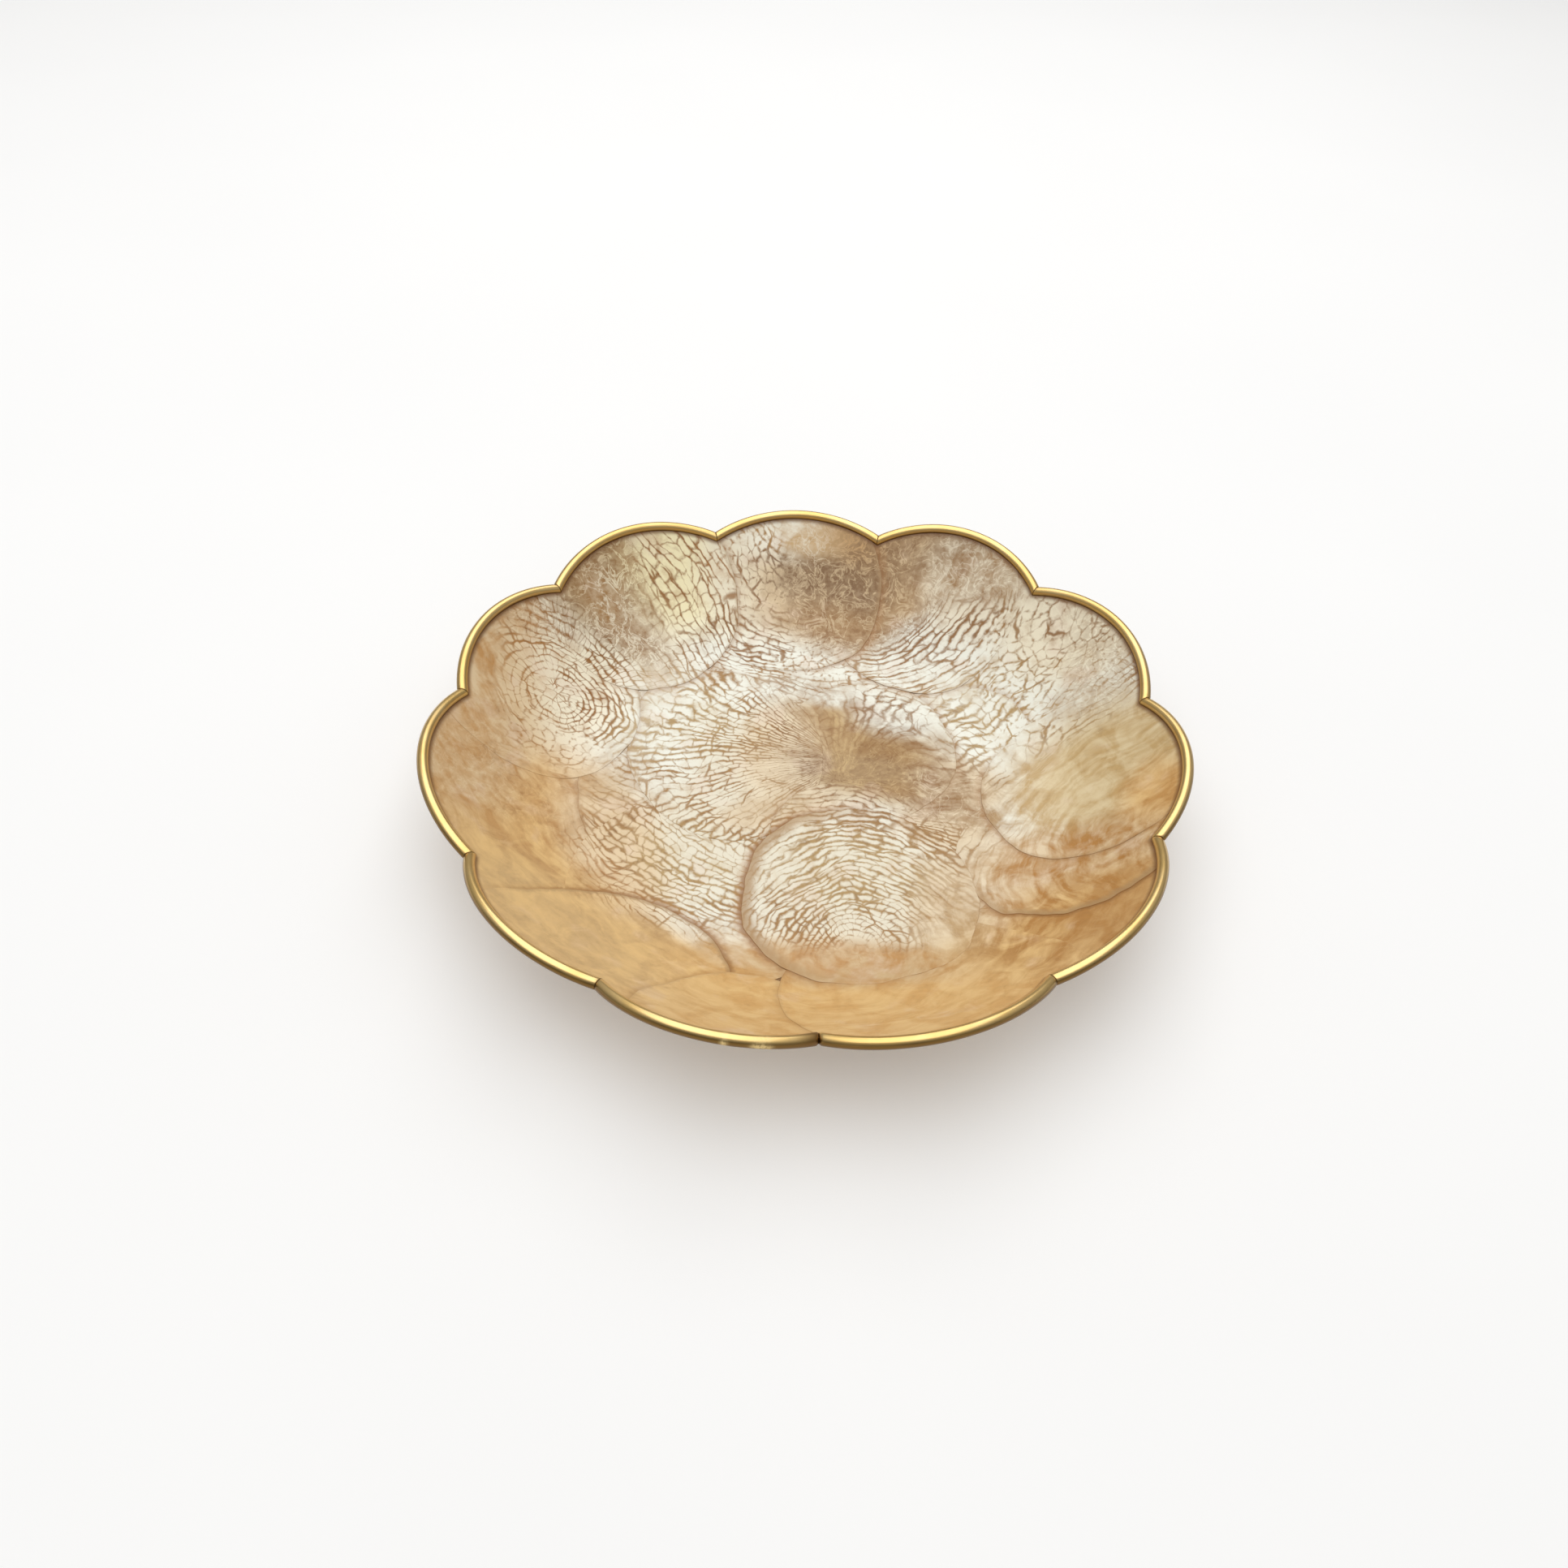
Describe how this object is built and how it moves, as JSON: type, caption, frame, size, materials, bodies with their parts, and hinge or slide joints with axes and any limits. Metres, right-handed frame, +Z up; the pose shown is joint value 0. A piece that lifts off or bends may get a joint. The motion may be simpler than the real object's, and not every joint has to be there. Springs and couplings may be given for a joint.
{
  "type": "scalloped serving bowl",
  "caption": "Shallow scalloped brass bowl, lined with overlapping windowpane-oyster shell under lacquer and edged with a round brass bead; holds fruit, flowers or keys.",
  "frame": {"origin": "on the table, under the middle of the bowl", "axes": "+Z up; -Y towards the side with the deepest notch in the rim, seen nearest in use; +X to the right of a viewer there"},
  "size_m": [0.3034, 0.3003, 0.0497],
  "materials": {
    "brass_body": "satin, hand-spun, aged a little",
    "brass_foot": "satin",
    "brass_bead": "polished",
    "resin": "tinted amber-brown resin under clear lacquer",
    "shell_floor": "pearly windowpane-oyster shell under clear lacquer",
    "shell_wall": "pearly tan windowpane-oyster shell under clear lacquer"
  },
  "bodies": {
    "root": {"bowl_body": "brass_body", "foot_ring": "brass_foot", "resin_bed": "resin", "rim_segment_01": "brass_bead", "rim_segment_02": "brass_bead", "rim_segment_03": "brass_bead", "rim_segment_04": "brass_bead", "rim_segment_05": "brass_bead", "rim_segment_06": "brass_bead", "rim_segment_07": "brass_bead", "rim_segment_08": "brass_bead", "rim_segment_09": "brass_bead", "rim_segment_10": "brass_bead", "rim_segment_11": "brass_bead", "shell_floor_back": "shell_floor", "shell_floor_centre": "shell_floor", "shell_floor_fan": "shell_floor", "shell_floor_far_left": "shell_floor", "shell_floor_front": "shell_floor", "shell_floor_front_left": "shell_floor", "shell_floor_left": "shell_floor", "shell_floor_right": "shell_floor", "shell_wall_01": "shell_wall", "shell_wall_02": "shell_wall", "shell_wall_03": "shell_wall", "shell_wall_04": "shell_wall", "shell_wall_05": "shell_wall", "shell_wall_06": "shell_wall", "shell_wall_07": "shell_wall", "shell_wall_08": "shell_wall", "shell_wall_09": "shell_wall", "shell_wall_10": "shell_wall", "shell_wall_10_lower": "shell_wall", "shell_wall_11": "shell_wall"}
  },
  "joints": []
}
